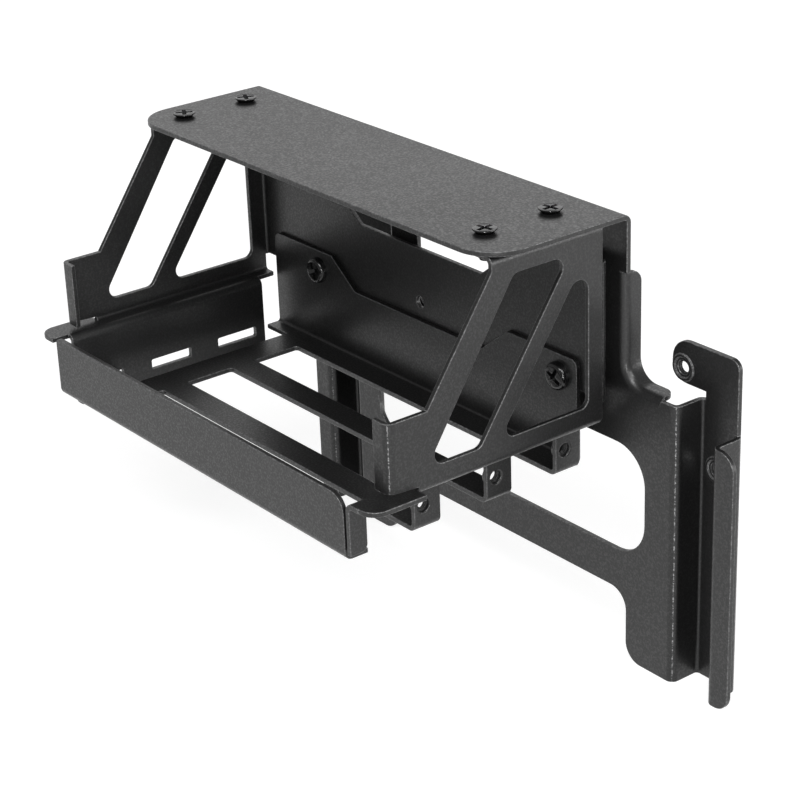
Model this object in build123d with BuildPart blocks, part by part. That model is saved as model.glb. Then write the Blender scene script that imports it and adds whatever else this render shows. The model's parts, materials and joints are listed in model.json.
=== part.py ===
from build123d import *
import os

# Vertical graphics card mount: a sheet steel stand with a hanging cage and a slot tray.
# X runs across the stand, -Y is the open front of the cage, +Z is up. The origin is
# midway between the two hook holes, on the rear face of the webs.

# Sheet steel, the same for the three folded pieces
sheet = 1.2
bend_inner_r = 0.8

# Expansion slots, and the screws that hold a card bracket
slot_pitch = 20.32
slot_count = 3
first_slot_y = -59.1
card_screw_z = -21.4
card_screw_above_floor = 4.65
card_screw_tap_r = 1.45
tap_collar_r = 2.3
tap_collar_height = 1.0
tap_lead_r = 0.6

# Stand: hooks and webs with their screw holes
hook_hole_spacing = 104.2
web_hole_spacing = 125.5
web_hole_drop = 21.2
mount_hole_r = 1.6
mount_recess_r = 2.4
mount_ring_r = 3.15
mount_ring_height = 0.35
hook_end_x = 48.7
hook_height = 10.1
hook_under_z = -3.6
hook_end_r = 4.9
hook_shoulder_r = 2.5

# Stand: channels beside the middle plate, and their lips
channel_depth = 9.2
channel_inner_x = 58.2
channel_top_z = -5.4
channel_outer_x = 69.8
lip_width = 5.6
lip_top_z = -11.1
lip_top_r = 4.5
lip_bottom_r = 4.0
web_inset = 1.05

# Stand: legs, crossbar and window of the middle plate
foot_z = -74.6
leg_inner_x = 42.8
foot_r = 4.8
crossbar_bottom_z = -57.0
crossbar_corner_r = 5.0
window_half_width = 48.6
window_top_z = -19.75
window_bottom_z = -46.8
window_r = 9.0

# Stand: back wall, its rims and the cable opening
wall_half_width = 42.0
strip_bottom_z = 21.2
shoulder_z = -4.7
rim_depth = 5.0
rim_end_x = 53.2
rim_corner_r = 5.2
rim_end_r = 3.0
cable_half_width = 30.35
cable_top_z = 20.6
cable_bottom_z = -7.4
cable_r = 4.0

# Stand: top plate
top_face_z = 34.8
top_front_y = -47.8
top_corner_r = 10.0
top_overhang_right = 2.85
top_overhang_left = 3.45
top_screw_hole_r = 1.7

# Cage: side plates, each standing outside the card tray
side_left_offset = 6.3
side_right_offset = 7.1
cage_wall_gap = 2.5
cage_bottom_z = -14.2
side_rear_gap = 1.9
side_top_front_y = -44.9
side_slope_top_z = 30.2
nose_setback = 6.9
nose_length = 10.7
nose_top_z = 4.4
nose_bottom_z = -11.8
nose_relief_length = 7.9
nose_flange_width = 5.0
top_flange_width = 14.0

# Cage: openings in the side plates
front_strut_foot = 8.7
front_strut_top = 7.3
side_window_rear = 23.2
middle_strut = 5.4
side_window_bottom_z = -8.6
side_window_top_z = 28.5
side_window_r = 2.4
side_triangle_rear_y = -17.8
side_triangle_r = 2.2
side_peak_r = 2.8

# Cage: back plate
cage_back_bottom_z = -8.8
cage_back_top_z = 24.2
notch_half_width = 23.0
notch_flare = 19.0
notch_bottom_z = 9.7
wire_hole_r = 1.5
wire_hole_z = -4.15

# Cage: floor flanges, the slotted wall and the short lug
floor_front_setback = 0.2
floor_front_overhang = 2.6
floor_front_r = 4.0
slot_wall_front_setback = 4.8
slot_wall_rear_y = -18.8
slot_wall_bottom_z = -32.0
slot_wall_r = 2.0
tongue_slot_length = 11.8
tongue_slot_height = 2.5
tongue_slot_lead = 9.2
tongue_slot_z = -27.1
lug_width = 4.6
lug_bottom_z = -25.4
lug_r = 1.8

# Card tray
tray_side_clearance = 0.1
tray_lug_clearance = 0.8
tray_front_y = -80.6
tray_front_top_z = -12.1
tray_width = 116.6
tray_right_x = 32.55
tray_corner_r = 1.5
tray_front_corner_r = 4.5
front_bar_width = 6.1
finger_width = 7.2
finger_lead = 2.7
tab_height = 10.45
comb_spine_width = 17.4
opening_r = 0.8
floor_left_inset = 8.6
floor_left_front_y = -63.1
floor_left_rear_y = -18.1
ear_top_z = -1.3
ear_valley_z = -8.4
ear_width = 24.6
ear_flare = 9.3
ear_right_inset = 0.9
ear_r = 2.0

# Screws
top_screw_left_inset = 5.3
top_screw_right_inset = 10.1
top_screw_spacing_y = 18.5
top_screw_rear_y = -19.6
top_screw_head_r = 2.75
top_screw_head_height = 1.05
top_screw_rim = 0.25
top_screw_seat_r = 1.95
ear_screw_left_inset = 19.0
ear_screw_right_inset = 6.8
ear_screw_z = -6.5
ear_screw_head_r = 3.4
ear_screw_head_height = 1.9
screw_r = 1.45
top_screw_length = 6.0
ear_screw_length = 4.0
screw_tap_clearance = 0.05
screw_hole_clearance = 0.3
recess_width = 1.0
recess_share = 0.78
head_round_share = 0.6
recess_depth = 0.9

# Worked out from the sizes above
bend_r = bend_inner_r + sheet / 2
bend_outer_r = bend_inner_r + sheet
plate_front_y = -channel_depth
plate_mid_y = plate_front_y + sheet / 2
lip_edge_x = channel_outer_x + lip_width
web_edge_x = channel_outer_x - web_inset
flat_edge_x = channel_outer_x - bend_outer_r
hook_top_z = hook_under_z + hook_height
top_under_z = top_face_z - sheet
tray_left_x = tray_right_x - tray_width
slot_opening_left_x = tray_left_x + comb_spine_width
cage_right_x = tray_right_x + side_right_offset
cage_left_x = tray_left_x - side_left_offset
cage_center_x = (cage_left_x + cage_right_x) / 2
nose_front_y = tray_front_y + nose_setback
nose_relief_y = nose_front_y + nose_relief_length
side_slope_foot_y = nose_front_y + nose_length
floor_front_y = tray_front_y + floor_front_setback
slot_wall_front_y = tray_front_y + slot_wall_front_setback
top_right_x = cage_right_x + top_overhang_right
top_left_x = cage_left_x - top_overhang_left
cage_back_y = plate_front_y - cage_wall_gap
tray_back_y = cage_back_y - sheet
side_rear_y = cage_back_y - side_rear_gap
tray_floor_z = card_screw_z - card_screw_above_floor
tray_under_z = tray_floor_z - sheet
slot_wall_x = tray_left_x - tray_side_clearance
lug_x = tray_right_x + tray_lug_clearance
floor_edge_right_x = cage_right_x + floor_front_overhang
floor_edge_left_x = cage_left_x - floor_front_overhang
top_screw_xs = [cage_left_x + top_screw_left_inset, cage_right_x - top_screw_right_inset]
top_screw_ys = [top_screw_rear_y - top_screw_spacing_y, top_screw_rear_y]
ear_screw_xs = [tray_left_x + ear_screw_left_inset, tray_right_x - ear_screw_right_inset]
slot_ys = [first_slot_y + slot_pitch * i for i in range(slot_count)]
screw_tap_r = screw_r + screw_tap_clearance
slope_run = (side_top_front_y - side_slope_foot_y) / (side_slope_top_z - nose_top_z)
through = 4 * tray_width
match = 0.01


def fold(plane, *points):
    """Section of folded sheet whose mid line runs through the points."""
    with BuildSketch(plane) as section:
        with BuildLine():
            FilletPolyline(*points, radius=bend_r)
        trace(line_width=sheet)
    return section.sketch


def slope_y(z, behind=0.0):
    """Y of a line parallel to the sloping front edge of the side plates."""
    return side_top_front_y + (z - side_slope_top_z) * slope_run + behind


# Back wall of the stand, with a rim turned to the rear along each side and shoulder
wall_base_z = shoulder_z - 2 * bend_outer_r
with BuildPart() as back_wall:
    rim_x = wall_half_width - sheet / 2
    flat_x = wall_half_width - bend_outer_r
    with BuildLine(Plane.XZ) as rim_path:
        FilletPolyline(
            (rim_x, strip_bottom_z),
            (rim_x, shoulder_z - sheet / 2),
            (rim_end_x, shoulder_z - sheet / 2),
            radius=rim_corner_r + sheet / 2,
        )
    rim_section = fold(
        Plane.XY.offset(strip_bottom_z),
        (flat_x - bend_outer_r, plate_mid_y),
        (rim_x, plate_mid_y),
        (rim_x, plate_front_y + rim_depth),
    )
    sweep(rim_section, path=rim_path.line)
    rim_tip_y = plate_front_y + rim_depth
    tips = back_wall.edges().filter_by_position(Axis.Y, rim_tip_y - match, rim_tip_y + match)
    shoulder_tip = tips.filter_by(Axis.X).group_by(Axis.Z)[-1]
    wall_tip = tips.filter_by(Axis.Z).group_by(Axis.X)[-1]
    fillet(shoulder_tip + wall_tip, rim_end_r)
    mirror(about=Plane.YZ)
    with BuildSketch(Plane.XZ.offset(-plate_front_y)) as wall:
        flat_z = shoulder_z - bend_outer_r
        with BuildLine():
            Polyline(
                (-rim_end_x, wall_base_z),
                (-rim_end_x, flat_z),
                (-flat_x, flat_z),
                (-flat_x, strip_bottom_z),
                (flat_x, strip_bottom_z),
                (flat_x, flat_z),
                (rim_end_x, flat_z),
                (rim_end_x, wall_base_z),
                close=True,
            )
        make_face()
        inner = wall.vertices().filter_by_position(Axis.Y, flat_z - match, flat_z + match)
        fillet(inner.filter_by(lambda v: abs(v.X) < rim_end_x - match), rim_corner_r + bend_outer_r)
    extrude(amount=-sheet)


# The stand is one folded sheet: the middle plate, two channelled legs with lips,
# two hooks, the back wall with its rims and the top plate.
with BuildPart() as main_bracket:
    step_x = channel_inner_x - sheet / 2
    outer_x = channel_outer_x - sheet / 2
    half_section = [
        (0, plate_mid_y),
        (step_x, plate_mid_y),
        (step_x, -sheet / 2),
        (outer_x, -sheet / 2),
        (outer_x, plate_mid_y),
        (lip_edge_x, plate_mid_y),
    ]
    mirrored = [(-x, y) for x, y in reversed(half_section[1:])]
    extrude(fold(Plane.XY.offset(foot_z), *mirrored, *half_section[1:]), amount=channel_top_z - foot_z)

    for side in (-1, 1):
        # Above the lip only the flat web goes on, up to the hook
        with BuildSketch(Plane.XZ) as above_lip:
            with BuildLine():
                Polyline(
                    (side * flat_edge_x, lip_top_z),
                    (side * (lip_edge_x + sheet), lip_top_z),
                    (side * (lip_edge_x + sheet), shoulder_z + sheet),
                    (side * flat_edge_x, shoulder_z + sheet),
                    close=True,
                )
            make_face()
        extrude(amount=through, both=True, mode=Mode.SUBTRACT)
        with BuildSketch(Plane.XZ) as hook:
            with BuildLine():
                Polyline(
                    (side * hook_end_x, hook_under_z),
                    (side * hook_end_x, hook_top_z),
                    (side * web_edge_x, hook_top_z),
                    (side * web_edge_x, lip_top_z),
                    (side * (channel_inner_x + bend_inner_r), lip_top_z),
                    (side * (channel_inner_x + bend_inner_r), hook_under_z),
                    close=True,
                )
            make_face()
            tip, back = (0, -1) if side > 0 else (-1, 0)
            fillet(hook.vertices().group_by(Axis.X)[tip], hook_end_r)
            fillet(hook.vertices().group_by(Axis.Y)[-1].sort_by(Axis.X)[back], hook_shoulder_r)
        extrude(amount=sheet)

    # Window, and the gap between the feet
    with BuildSketch(Plane.XZ):
        with Locations((0, (window_top_z + window_bottom_z) / 2)):
            RectangleRounded(2 * window_half_width, window_top_z - window_bottom_z, window_r)
    extrude(amount=through, both=True, mode=Mode.SUBTRACT)
    with BuildSketch(Plane.XZ) as foot_gap:
        with Locations((0, foot_z)):
            Rectangle(2 * leg_inner_x, 2 * (crossbar_bottom_z - foot_z))
        fillet(foot_gap.vertices().group_by(Axis.Y)[-1], crossbar_corner_r)
    extrude(amount=through, both=True, mode=Mode.SUBTRACT)
    across = main_bracket.edges().filter_by(Axis.Y)
    feet = across.filter_by_position(Axis.Z, foot_z - match, foot_z + match)
    lip_tops = across.filter_by_position(Axis.Z, lip_top_z - match, lip_top_z + match)
    fillet(feet.filter_by_position(Axis.X, -leg_inner_x - match, leg_inner_x + match), foot_r)
    fillet(feet.filter_by(lambda edge: abs(edge.center().X) > channel_outer_x + sheet), lip_bottom_r)
    fillet(lip_tops.filter_by(lambda edge: abs(edge.center().X) > channel_outer_x + sheet), lip_top_r)

    # The back wall takes the place of the plate below the shoulders
    with BuildSketch(Plane.XZ.offset(-plate_front_y)):
        with Locations((0, shoulder_z)):
            Rectangle(2 * rim_end_x, 2 * (shoulder_z - wall_base_z))
    extrude(amount=-rim_depth, mode=Mode.SUBTRACT)
    add(back_wall.part)

    # Top plate and its bend down into the strip above the back wall
    top_section = [
        (top_front_y, top_face_z - sheet / 2),
        (plate_mid_y, top_face_z - sheet / 2),
        (plate_mid_y, strip_bottom_z),
    ]
    extrude(fold(Plane.YZ.offset(top_left_x), *top_section), amount=top_right_x - top_left_x)
    uprights = main_bracket.edges().filter_by(Axis.Z)
    fillet(uprights.filter_by_position(Axis.Y, top_front_y - match, top_front_y + match), top_corner_r)
    with BuildSketch(Plane.XY.offset(top_face_z)):
        with Locations(*[(x, y) for x in top_screw_xs for y in top_screw_ys]):
            Circle(top_screw_hole_r)
    extrude(amount=-2 * sheet, mode=Mode.SUBTRACT)

    # Cable opening
    with BuildSketch(Plane.XZ):
        with Locations((0, (cable_top_z + cable_bottom_z) / 2)):
            RectangleRounded(2 * cable_half_width, cable_top_z - cable_bottom_z, cable_r)
    extrude(amount=through, both=True, mode=Mode.SUBTRACT)

    # Ringed holes in the hooks and webs
    hook_spots = [(s * hook_hole_spacing / 2, 0) for s in (-1, 1)]
    web_spots = [(s * web_hole_spacing / 2, -web_hole_drop) for s in (-1, 1)]
    with BuildSketch(Plane.XZ.offset(sheet)):
        with Locations(*hook_spots, *web_spots):
            Circle(mount_ring_r)
            Circle(mount_recess_r, mode=Mode.SUBTRACT)
    extrude(amount=mount_ring_height)
    with BuildSketch(Plane.XZ):
        with Locations(*hook_spots, *web_spots):
            Circle(mount_hole_r)
    extrude(amount=channel_depth / 2, both=True, mode=Mode.SUBTRACT)

main_bracket.part.label = "main_bracket"


# The cage is one folded sheet: two side plates joined by a back plate, flanges under
# the top plate, floor flanges, the wall with the tongue slots and the short lug.
with BuildPart() as cage:
    back_mid_y = cage_back_y - sheet / 2
    back_start_y = back_mid_y - 2 * bend_outer_r
    back_section = [
        (cage_left_x + sheet / 2, back_start_y),
        (cage_left_x + sheet / 2, back_mid_y),
        (cage_right_x - sheet / 2, back_mid_y),
        (cage_right_x - sheet / 2, back_start_y),
    ]
    back_sketch = fold(Plane.XY.offset(cage_back_bottom_z), *back_section)
    extrude(back_sketch, amount=cage_back_top_z - cage_back_bottom_z)
    with BuildSketch(Plane.XZ):
        with BuildLine():
            Polyline(
                (cage_center_x - notch_half_width, notch_bottom_z),
                (cage_center_x + notch_half_width, notch_bottom_z),
                (cage_center_x + notch_half_width + notch_flare, cage_back_top_z),
                (cage_center_x - notch_half_width - notch_flare, cage_back_top_z),
                close=True,
            )
        make_face()
        with Locations((cage_center_x, wire_hole_z)):
            Circle(wire_hole_r)
        with Locations(*[(x, ear_screw_z) for x in ear_screw_xs]):
            Circle(screw_tap_r)
    extrude(amount=through, both=True, mode=Mode.SUBTRACT)

    for side, face_x in ((-1, cage_left_x), (1, cage_right_x)):
        mid_x = face_x - side * sheet / 2
        # Flat of the side plate, up to where its bends begin
        with BuildSketch(Plane.YZ.offset(face_x)) as flat:
            with BuildLine():
                Polyline(
                    (side_top_front_y, top_under_z - bend_outer_r),
                    (side_top_front_y, side_slope_top_z),
                    (side_slope_foot_y, nose_top_z),
                    (nose_front_y + bend_outer_r, nose_top_z),
                    (nose_front_y + bend_outer_r, nose_bottom_z),
                    (nose_relief_y, cage_bottom_z + bend_outer_r),
                    (side_rear_y, cage_bottom_z + bend_outer_r),
                    (side_rear_y, top_under_z - bend_outer_r),
                    close=True,
                )
            make_face()
        extrude(amount=-side * sheet)
        with BuildSketch(Plane.YZ.offset(face_x)) as openings:
            with BuildLine():
                Polyline(
                    (slope_y(side_window_bottom_z, front_strut_foot), side_window_bottom_z),
                    (slope_y(side_window_bottom_z, side_window_rear), side_window_bottom_z),
                    (slope_y(side_window_top_z, side_window_rear), side_window_top_z),
                    (slope_y(side_window_top_z, front_strut_top), side_window_top_z),
                    close=True,
                )
            make_face()
            fillet(openings.vertices(), side_window_r)
        extrude(amount=-side * 2 * sheet, both=True, mode=Mode.SUBTRACT)
        with BuildSketch(Plane.YZ.offset(face_x)) as triangle:
            behind = side_window_rear + middle_strut
            foot_y = slope_y(side_window_bottom_z, behind)
            peak_z = side_window_bottom_z + (side_triangle_rear_y - foot_y) / slope_run
            with BuildLine():
                Polyline(
                    (foot_y, side_window_bottom_z),
                    (side_triangle_rear_y, side_window_bottom_z),
                    (side_triangle_rear_y, peak_z),
                    close=True,
                )
            make_face()
            fillet(triangle.vertices().group_by(Axis.Y)[0], side_triangle_r)
            fillet(triangle.vertices().group_by(Axis.Y)[-1], side_peak_r)
        extrude(amount=-side * 2 * sheet, both=True, mode=Mode.SUBTRACT)

        # Flange under the top plate
        top_points = [
            (mid_x, top_under_z - 2 * bend_outer_r),
            (mid_x, top_under_z - sheet / 2),
            (face_x - side * top_flange_width, top_under_z - sheet / 2),
        ]
        extrude(fold(Plane.XZ.offset(-side_rear_y), *top_points), amount=side_rear_y - side_top_front_y)
        # Return flange of the nose
        nose_points = [
            (mid_x, nose_front_y + 2 * bend_outer_r),
            (mid_x, nose_front_y + sheet / 2),
            (face_x - side * nose_flange_width, nose_front_y + sheet / 2),
        ]
        extrude(fold(Plane.XY.offset(nose_bottom_z), *nose_points), amount=nose_top_z - nose_bottom_z)

    # Floor flanges, each with a rounded corner that stands out past the nose
    mid_z = cage_bottom_z + sheet / 2
    for side, face_x, edge_x, drop_x, drop_z, drop_front_y, drop_rear_y in (
        (-1, cage_left_x, floor_edge_left_x, slot_wall_x - sheet / 2, slot_wall_bottom_z,
         slot_wall_front_y, slot_wall_rear_y),
        (1, cage_right_x, floor_edge_right_x, lug_x + sheet / 2, lug_bottom_z,
         tray_front_y, tray_front_y + lug_width),
    ):
        mid_x = face_x - side * sheet / 2
        side_points = [
            (mid_x, cage_bottom_z + 2 * bend_outer_r),
            (mid_x, mid_z),
            (drop_x + side * bend_r, mid_z),
        ]
        extrude(fold(Plane.XZ.offset(-side_rear_y), *side_points), amount=side_rear_y - nose_relief_y)
        drop_points = [
            (mid_x - side * bend_r, mid_z),
            (drop_x, mid_z),
            (drop_x, drop_z),
        ]
        extrude(fold(Plane.XZ.offset(-drop_rear_y), *drop_points), amount=drop_rear_y - drop_front_y)
        with BuildSketch(Plane.XY.offset(cage_bottom_z)) as apron:
            with BuildLine():
                Polyline(
                    (drop_x + side * bend_r, floor_front_y),
                    (edge_x, floor_front_y),
                    (edge_x, nose_relief_y),
                    (drop_x + side * bend_r, nose_relief_y),
                    close=True,
                )
            make_face()
            outer = apron.vertices().group_by(Axis.Y)[0].sort_by(Axis.X)[-1 if side > 0 else 0]
            fillet(outer, floor_front_r)
        extrude(amount=sheet)

    # Slots for the tongues of the card brackets
    with BuildSketch(Plane.YZ.offset(slot_wall_x)):
        with Locations(*[(y - tongue_slot_lead, tongue_slot_z) for y in slot_ys]):
            RectangleRounded(tongue_slot_length, tongue_slot_height, opening_r / 2)
    extrude(amount=-2 * sheet, mode=Mode.SUBTRACT)
    fillet(cage.edges().filter_by(Axis.X).group_by(Axis.Z)[0], slot_wall_r)
    lug_feet = cage.edges().filter_by(Axis.X).filter_by_position(
        Axis.Z, lug_bottom_z - match, lug_bottom_z + match
    )
    fillet(lug_feet.sort_by(Axis.Y)[-1], lug_r)

    # Tapped holes for the screws of the top plate
    with BuildSketch(Plane.XY.offset(top_under_z)):
        with Locations(*[(x, y) for x in top_screw_xs for y in top_screw_ys]):
            Circle(screw_tap_r)
    extrude(amount=-2 * sheet, mode=Mode.SUBTRACT)

cage.part.label = "cage"


# The card tray is one folded sheet: front wall, comb floor, back wall with two ears,
# and an upturned tab with a tapped hole at the end of each finger.
with BuildPart() as card_tray:
    tray_mid_z = tray_under_z + sheet / 2
    tray_points = [
        (tray_front_y + sheet / 2, tray_front_top_z),
        (tray_front_y + sheet / 2, tray_mid_z),
        (tray_back_y - sheet / 2, tray_mid_z),
        (tray_back_y - sheet / 2, ear_top_z),
    ]
    extrude(fold(Plane.YZ.offset(tray_left_x), *tray_points), amount=tray_width)

    # Valley between the ears
    with BuildSketch(Plane.XZ.offset(-tray_back_y)):
        with BuildLine():
            Polyline(
                (tray_left_x + ear_width, ear_top_z),
                (tray_left_x + ear_width + ear_flare, ear_valley_z),
                (tray_right_x - ear_width - ear_flare, ear_valley_z),
                (tray_right_x - ear_width, ear_top_z),
                close=True,
            )
        make_face()
    extrude(amount=2 * bend_outer_r, mode=Mode.SUBTRACT)
    with BuildSketch(Plane.XZ.offset(-tray_back_y)):
        with Locations(*[(x, ear_screw_z) for x in ear_screw_xs]):
            Circle(screw_r + screw_hole_clearance)
    extrude(amount=2 * sheet, mode=Mode.SUBTRACT)

    # The back wall ends short of the tabs
    with BuildSketch(Plane.XZ.offset(-tray_back_y)):
        with Locations((tray_right_x, ear_top_z)):
            Rectangle(2 * ear_right_inset, 2 * (ear_top_z - tray_under_z))
    extrude(amount=bend_outer_r, mode=Mode.SUBTRACT)

    # Openings of the comb, one in front of each finger
    finger_rears = [y - finger_lead + finger_width for y in slot_ys]
    opening_fronts = [tray_front_y + front_bar_width] + finger_rears[:-1]
    for front_y, screw_y in zip(opening_fronts, slot_ys):
        rear_y = screw_y - finger_lead
        with BuildSketch(Plane.XY.offset(tray_floor_z)) as opening:
            with BuildLine():
                Polyline(
                    (slot_opening_left_x, front_y),
                    (tray_right_x + sheet, front_y),
                    (tray_right_x + sheet, rear_y),
                    (slot_opening_left_x, rear_y),
                    close=True,
                )
            make_face()
            fillet(opening.vertices().group_by(Axis.X)[0], opening_r)
        extrude(amount=-2 * sheet, mode=Mode.SUBTRACT)
    with BuildSketch(Plane.XY.offset(tray_floor_z)):
        with Locations((tray_left_x, (floor_left_front_y + floor_left_rear_y) / 2)):
            Rectangle(2 * floor_left_inset, floor_left_rear_y - floor_left_front_y)
    extrude(amount=-2 * sheet, mode=Mode.SUBTRACT)

    # Upturned tabs
    for screw_y in slot_ys:
        front_y = screw_y - finger_lead
        with BuildSketch(Plane.XY.offset(tray_under_z)):
            with Locations((tray_right_x, front_y + finger_width / 2)):
                Rectangle(2 * bend_outer_r, finger_width)
        extrude(amount=2 * sheet, mode=Mode.SUBTRACT)
        tab_points = [
            (tray_right_x - 2 * bend_outer_r, tray_mid_z),
            (tray_right_x - sheet / 2, tray_mid_z),
            (tray_right_x - sheet / 2, tray_under_z + tab_height),
        ]
        extrude(fold(Plane.XZ.offset(-front_y - finger_width), *tab_points), amount=finger_width)
    with BuildSketch(Plane.YZ.offset(tray_right_x - sheet)):
        with Locations(*[(y, card_screw_z) for y in slot_ys]):
            Circle(tap_collar_r)
    extrude(amount=-tap_collar_height)
    with BuildSketch(Plane.YZ.offset(tray_right_x)):
        with Locations(*[(y, card_screw_z) for y in slot_ys]):
            Circle(card_screw_tap_r)
    extrude(amount=-2 * (sheet + tap_collar_height), mode=Mode.SUBTRACT)
    right_edges = card_tray.edges().filter_by_position(Axis.X, tray_right_x - match, tray_right_x + match)
    fillet(right_edges.filter_by(lambda edge: edge.is_closed), tap_lead_r)

    ears = card_tray.edges().filter_by(Axis.Y).group_by(Axis.Z)[-1].sort_by(Axis.X)
    fillet([ears[0], ears[-1]], ear_r)
    fronts = card_tray.edges().filter_by(Axis.Y).filter_by_position(
        Axis.Z, tray_front_top_z - match, tray_front_top_z + match
    )
    fillet(fronts.sort_by(Axis.X)[-1], tray_front_corner_r)
    fillet(fronts.sort_by(Axis.X)[0], tray_corner_r)

card_tray.part.label = "card_tray"


def pan_screw(seat):
    """Pan head screw with a cross recess, its head standing on the seat plane."""
    with BuildPart() as screw:
        with BuildSketch():
            Circle(ear_screw_head_r)
        extrude(amount=ear_screw_head_height)
        fillet(screw.edges().group_by(Axis.Z)[-1], ear_screw_head_height * head_round_share)
        with BuildSketch():
            Circle(screw_r)
        extrude(amount=-ear_screw_length)
        with BuildSketch(Plane.XY.offset(ear_screw_head_height)):
            cross_recess(ear_screw_head_r)
        extrude(amount=-recess_depth, mode=Mode.SUBTRACT)
    return screw.part.moved(seat.location)


def flat_screw(seat):
    """Flat head screw that stands proud of its hole, narrower towards the seat plane."""
    with BuildPart() as screw:
        with BuildSketch(Plane.XZ):
            with BuildLine():
                Polyline(
                    (0, -top_screw_length),
                    (screw_r, -top_screw_length),
                    (screw_r, 0),
                    (top_screw_seat_r, 0),
                    (top_screw_head_r, top_screw_head_height - top_screw_rim),
                    (top_screw_head_r, top_screw_head_height),
                    (0, top_screw_head_height),
                    close=True,
                )
            make_face()
        revolve(axis=Axis.Z)
        with BuildSketch(Plane.XY.offset(top_screw_head_height)):
            cross_recess(top_screw_head_r)
        extrude(amount=-recess_depth, mode=Mode.SUBTRACT)
    return screw.part.moved(seat.location)


def cross_recess(head_r):
    """Two crossed bars, sketched in the place where they are called."""
    Rectangle(2 * head_r * recess_share, recess_width)
    Rectangle(recess_width, 2 * head_r * recess_share)


screws = {}
for x, across in zip(top_screw_xs, ("left", "right")):
    for y, along in zip(top_screw_ys, ("front", "rear")):
        seat = Plane((x, y, top_face_z), x_dir=(1, 0, 0), z_dir=(0, 0, 1))
        screws[f"top_screw_{along}_{across}"] = flat_screw(seat)
for x, across in zip(ear_screw_xs, ("left", "right")):
    seat = Plane((x, tray_back_y - sheet, ear_screw_z), x_dir=(1, 0, 0), z_dir=(0, -1, 0))
    screws[f"ear_screw_{across}"] = pan_screw(seat)

os.makedirs("parts", exist_ok=True)
for piece in (main_bracket.part, cage.part, card_tray.part):
    export_step(piece, f"parts/{piece.label}.step")
for name, screw in screws.items():
    screw.label = name
    export_step(screw, f"parts/{name}.step")
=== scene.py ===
"""Looks of the vertical graphics card mount: coated sheets, screws, threads, floor and light."""
import json
import math

import bmesh
import bpy
from mathutils import Matrix, Quaternion, Vector
from mathutils.bvhtree import BVHTree


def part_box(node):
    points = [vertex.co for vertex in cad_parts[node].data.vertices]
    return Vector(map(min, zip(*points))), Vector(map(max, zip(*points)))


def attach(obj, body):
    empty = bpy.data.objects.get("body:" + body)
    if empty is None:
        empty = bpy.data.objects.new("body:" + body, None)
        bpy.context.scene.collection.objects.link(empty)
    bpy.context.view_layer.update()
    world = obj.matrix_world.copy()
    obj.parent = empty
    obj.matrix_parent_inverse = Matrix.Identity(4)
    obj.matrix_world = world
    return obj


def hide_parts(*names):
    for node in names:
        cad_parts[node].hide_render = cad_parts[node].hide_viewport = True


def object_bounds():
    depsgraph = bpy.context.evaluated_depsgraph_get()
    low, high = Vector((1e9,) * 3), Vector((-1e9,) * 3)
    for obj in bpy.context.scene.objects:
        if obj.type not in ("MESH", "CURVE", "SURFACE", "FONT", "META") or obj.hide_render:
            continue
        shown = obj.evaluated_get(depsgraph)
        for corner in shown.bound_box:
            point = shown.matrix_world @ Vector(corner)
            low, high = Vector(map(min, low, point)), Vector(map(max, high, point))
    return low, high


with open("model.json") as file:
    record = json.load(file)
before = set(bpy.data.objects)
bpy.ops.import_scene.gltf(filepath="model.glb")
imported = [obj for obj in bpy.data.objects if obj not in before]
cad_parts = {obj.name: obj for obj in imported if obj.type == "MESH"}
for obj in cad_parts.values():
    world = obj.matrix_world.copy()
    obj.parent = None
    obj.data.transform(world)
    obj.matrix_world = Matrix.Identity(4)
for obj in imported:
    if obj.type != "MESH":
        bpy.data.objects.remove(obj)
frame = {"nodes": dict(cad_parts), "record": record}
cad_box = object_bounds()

bl_info = {
    "name": "Graphics Card Mount",
    "version": (1, 0, 0),
    "blender": (4, 5, 0),
    "location": "3D View > Sidebar > Card Mount",
    "description": "Powder coat, screws and tapped threads of a vertical graphics card mount",
    "category": "Object",
}

BODY = "root"

# Each screw's node, and how far its cross recess is turned, in degrees.
TOP_SCREWS = {
    "top_screw_front_left": 60,
    "top_screw_front_right": 7,
    "top_screw_rear_left": 63,
    "top_screw_rear_right": 4,
}
EAR_SCREWS = {"ear_screw_left": 20, "ear_screw_right": 62}

# Meshes, in metres and degrees.
MERGE_DISTANCE = 0.000001
PLANE_DISTANCE = 0.0000001
FLAT_ANGLE = 0.3             # triangles that differ by less are one flat face
CUT_EDGE_ANGLE = 40          # a sheet's edges that are sharper are cut edges
SHEET_SHARP_ANGLE = 50
PIECE_SHARP_ANGLE = 35
SPIKE_SHARE = 0.45           # of the edge radius; a vertex may leave the sheet's skin by so much
FLAT_WEIGHT = 80             # how far the large faces rule the normals round them
HEAD_STEPS = 64
HOLE_STEPS = 48
RECESS_STEPS = 32
THREAD_STEPS = 24            # in one turn

# A strip of a long upright bend, which gets a painted highlight: its slant, its tilt, the angle to
# its neighbours and its length.
BEND_FACING = 0.8
BEND_TILT = 0.02
BEND_STEP_MIN = 0.02
BEND_STEP_MAX = 0.6
BEND_LENGTH = 0.008
FLAT_SLOT, EDGE_SLOT, BEND_SLOT = range(3)

# One turn of thread: R for root or C for crest, and its height as a share of the pitch.
THREAD_TURN = (("R", 0.0), ("R", 0.12), ("C", 0.44), ("C", 0.56), ("R", 0.88), ("R", 1.0))

# Pan head, as shares of its height and radius.
PAN_ROUND = 0.62
PAN_CROWN = 0.06
PAN_FLAT = 0.45
PAN_DROP = 0.25              # of the crown
PAN_STEPS = 8

# Flat head: the eased corner as a share of the rim, and its middle point as a share of that.
FLAT_EASE = 0.35
FLAT_EASE_MIDDLE = 0.3

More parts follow.
